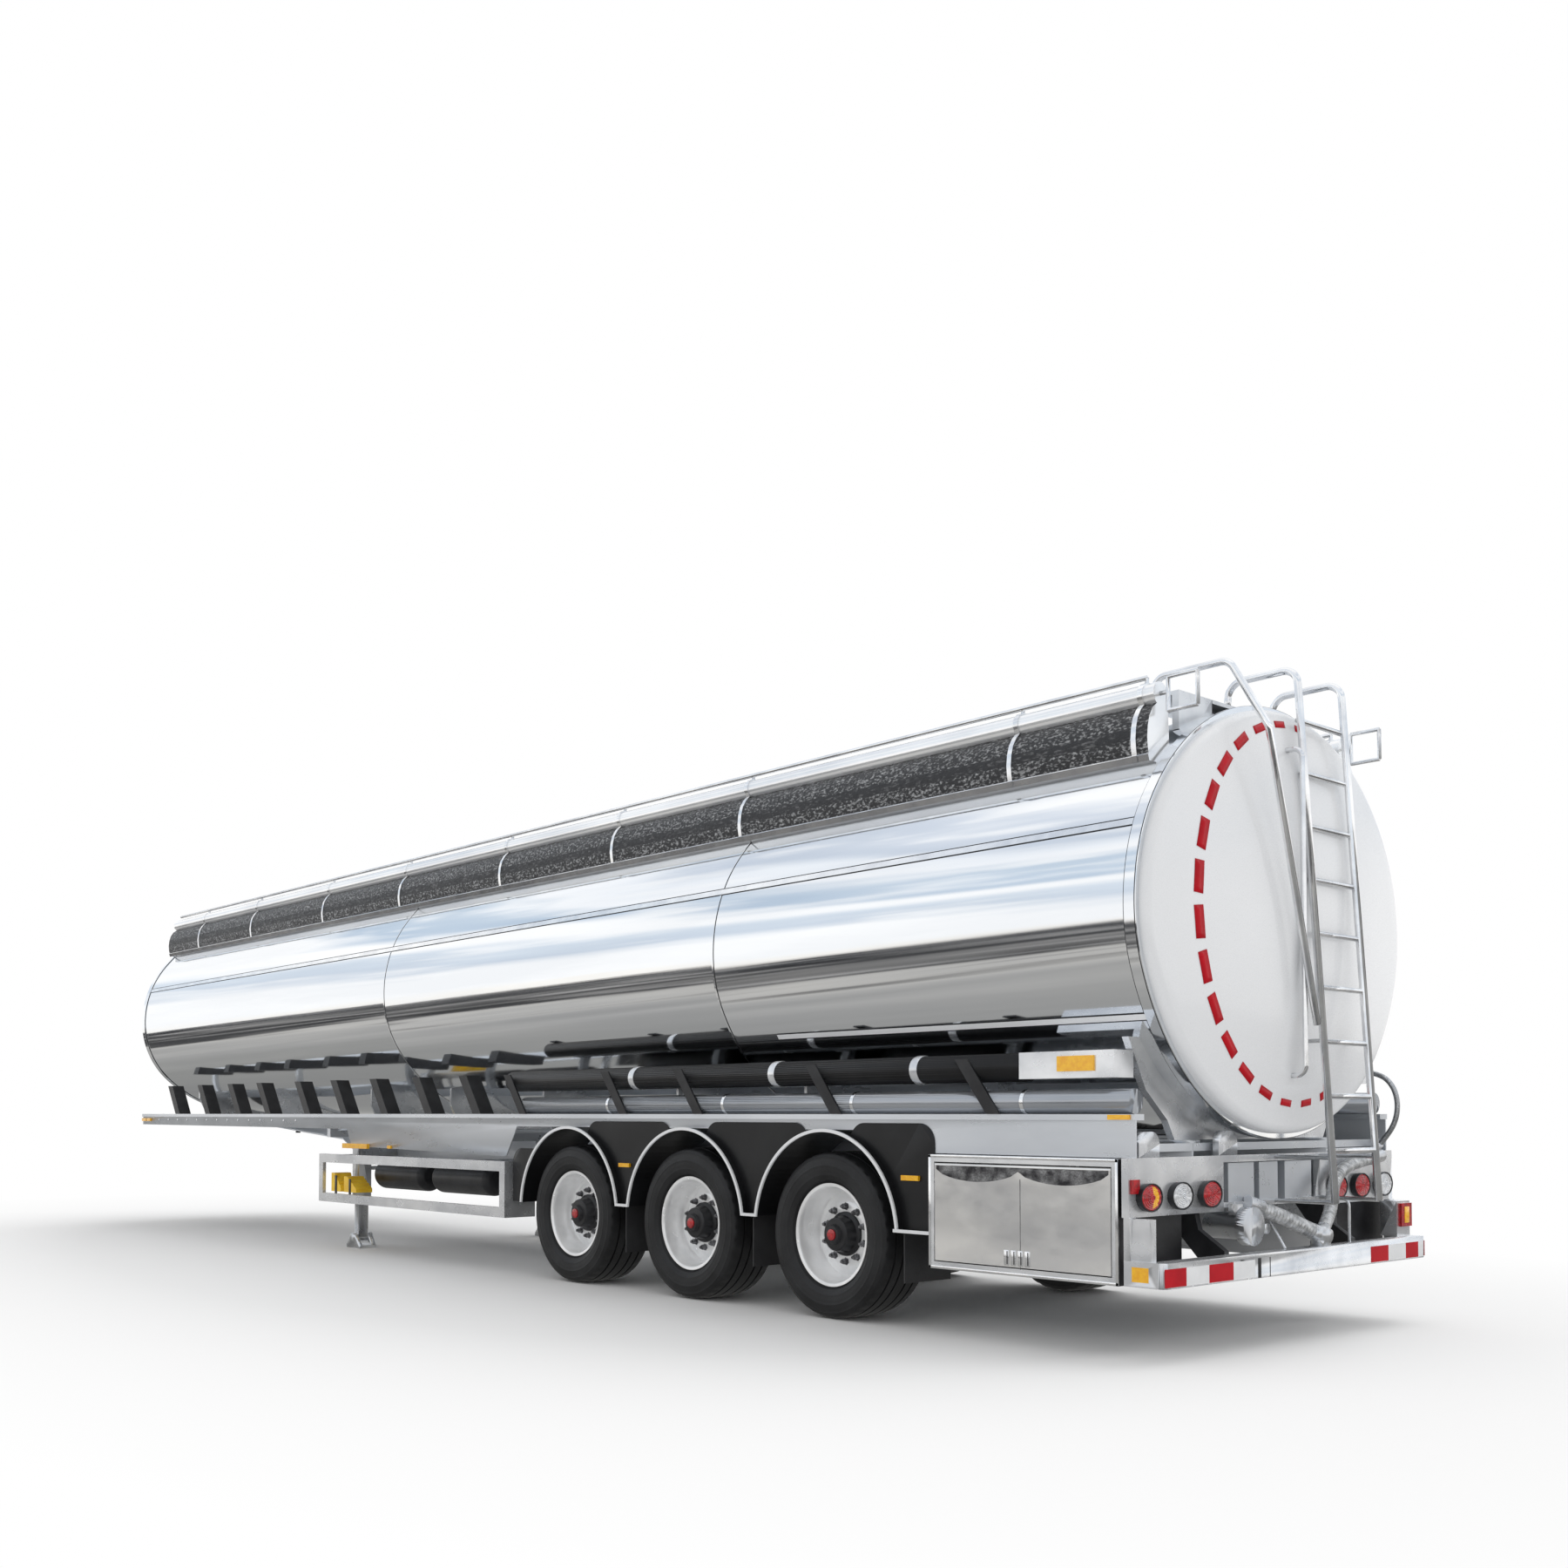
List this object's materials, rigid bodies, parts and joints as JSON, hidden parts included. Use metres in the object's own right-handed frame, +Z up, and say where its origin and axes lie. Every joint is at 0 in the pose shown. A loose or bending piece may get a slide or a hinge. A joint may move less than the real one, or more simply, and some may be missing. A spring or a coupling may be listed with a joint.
{
  "type": "tanker semi-trailer",
  "caption": "Polished aluminium tanker semi-trailer with turning wheels, ladder, walkway, manhole lids and toolboxes.",
  "frame": {"origin": "on the ground, under the middle of the trailer's length and width", "axes": "+X towards the rear, +Y towards the trailer's right-hand side, +Z up"},
  "size_m": [13.65, 2.55, 3.55],
  "materials": {
    "spring_rubber": "matte",
    "dark_steel": "satin",
    "braided_hose": "braided",
    "satin_aluminium": "satin",
    "polished_tank": "mirror",
    "frame_aluminium": "satin",
    "bright_tube": "polished",
    "black_plastic": "satin",
    "amber_lens": "gloss",
    "white_paint": "gloss",
    "polished_rim": "polished",
    "red_lens": "gloss",
    "tyre_rubber": "matte"
  },
  "bodies": {
    "trailer": {"air_springs": "spring_rubber", "air_tanks": "dark_steel", "axles": "dark_steel", "bearers": "dark_steel", "branch_hose": "braided_hose", "bumper": "satin_aluminium", "bumper_arms": "dark_steel", "coamings": "polished_tank", "coupling_plate": "dark_steel", "cross_members": "frame_aluminium", "drain_hose": "braided_hose", "fender_beads": "bright_tube", "fender_webs": "black_plastic", "fenders": "black_plastic", "front_end": "polished_tank", "hose_tubes": "black_plastic", "ladder": "bright_tube", "lamp_boxes": "bright_tube", "landing_legs": "dark_steel", "loop_hose": "braided_hose", "lower_pipes": "satin_aluminium", "main_beams": "frame_aluminium", "manhole_necks": "satin_aluminium", "marker_lamps": "amber_lens", "mudflaps": "spring_rubber", "outlet_valves": "satin_aluminium", "rear_end": "white_paint", "rear_frame": "frame_aluminium", "rear_handrail": "bright_tube", "saddles": "frame_aluminium", "side_guards": "bright_tube", "side_rails": "frame_aluminium", "stand_pipe": "bright_tube", "suspension": "dark_steel", "tail_lamps": "red_lens", "tank_barrel": "polished_tank", "toolbox_left": "bright_tube", "toolbox_right": "bright_tube", "top_rails": "bright_tube", "tube_straps": "dark_steel", "valve_boxes": "frame_aluminium", "walkway": "satin_aluminium"},
    "wheel_left_1": {"tyre_left_1": "tyre_rubber", "rim_left_1": "polished_rim"},
    "wheel_left_2": {"tyre_left_2": "tyre_rubber", "rim_left_2": "polished_rim"},
    "wheel_left_3": {"tyre_left_3": "tyre_rubber", "rim_left_3": "polished_rim"},
    "wheel_right_1": {"tyre_right_1": "tyre_rubber", "rim_right_1": "polished_rim"},
    "wheel_right_2": {"tyre_right_2": "tyre_rubber", "rim_right_2": "polished_rim"},
    "wheel_right_3": {"tyre_right_3": "tyre_rubber", "rim_right_3": "polished_rim"},
    "toolbox_left_flap": {"toolbox_left_door": "bright_tube"},
    "toolbox_right_flap": {"toolbox_right_door": "bright_tube"},
    "lid_1": {"manhole_lid_1": "satin_aluminium"},
    "lid_2": {"manhole_lid_2": "satin_aluminium"},
    "lid_3": {"manhole_lid_3": "satin_aluminium"},
    "lid_4": {"manhole_lid_4": "satin_aluminium"}
  },
  "joints": [
    {"name": "wheel_left_1_turn", "type": "hinge", "parent": "trailer", "child": "wheel_left_1", "pos_m": [1.715, -1.047, 0.483], "axis": [0, 1, 0], "continuous": true},
    {"name": "wheel_left_2_turn", "type": "hinge", "parent": "trailer", "child": "wheel_left_2", "pos_m": [3.025, -1.047, 0.483], "axis": [0, 1, 0], "continuous": true},
    {"name": "wheel_left_3_turn", "type": "hinge", "parent": "trailer", "child": "wheel_left_3", "pos_m": [4.335, -1.047, 0.483], "axis": [0, 1, 0], "continuous": true},
    {"name": "wheel_right_1_turn", "type": "hinge", "parent": "trailer", "child": "wheel_right_1", "pos_m": [1.715, 1.047, 0.483], "axis": [0, 1, 0], "continuous": true},
    {"name": "wheel_right_2_turn", "type": "hinge", "parent": "trailer", "child": "wheel_right_2", "pos_m": [3.025, 1.047, 0.483], "axis": [0, 1, 0], "continuous": true},
    {"name": "wheel_right_3_turn", "type": "hinge", "parent": "trailer", "child": "wheel_right_3", "pos_m": [4.335, 1.047, 0.483], "axis": [0, 1, 0], "continuous": true},
    {"name": "toolbox_left_flap_hinge", "type": "hinge", "parent": "trailer", "child": "toolbox_left_flap", "pos_m": [5.79, -1.264, 0.91], "axis": [-1, 0, 0], "range_deg": [0, 95]},
    {"name": "toolbox_right_flap_hinge", "type": "hinge", "parent": "trailer", "child": "toolbox_right_flap", "pos_m": [5.79, 1.264, 0.91], "axis": [1, 0, 0], "range_deg": [0, 95]},
    {"name": "lid_1_hinge", "type": "hinge", "parent": "trailer", "child": "lid_1", "pos_m": [-5.335, 0, 3.421], "axis": [0, -1, 0], "range_deg": [0, 100]},
    {"name": "lid_2_hinge", "type": "hinge", "parent": "trailer", "child": "lid_2", "pos_m": [-2.295, 0, 3.421], "axis": [0, -1, 0], "range_deg": [0, 100]},
    {"name": "lid_3_hinge", "type": "hinge", "parent": "trailer", "child": "lid_3", "pos_m": [0.825, 0, 3.421], "axis": [0, -1, 0], "range_deg": [0, 100]},
    {"name": "lid_4_hinge", "type": "hinge", "parent": "trailer", "child": "lid_4", "pos_m": [4.105, 0, 3.421], "axis": [0, -1, 0], "range_deg": [0, 100]}
  ]
}
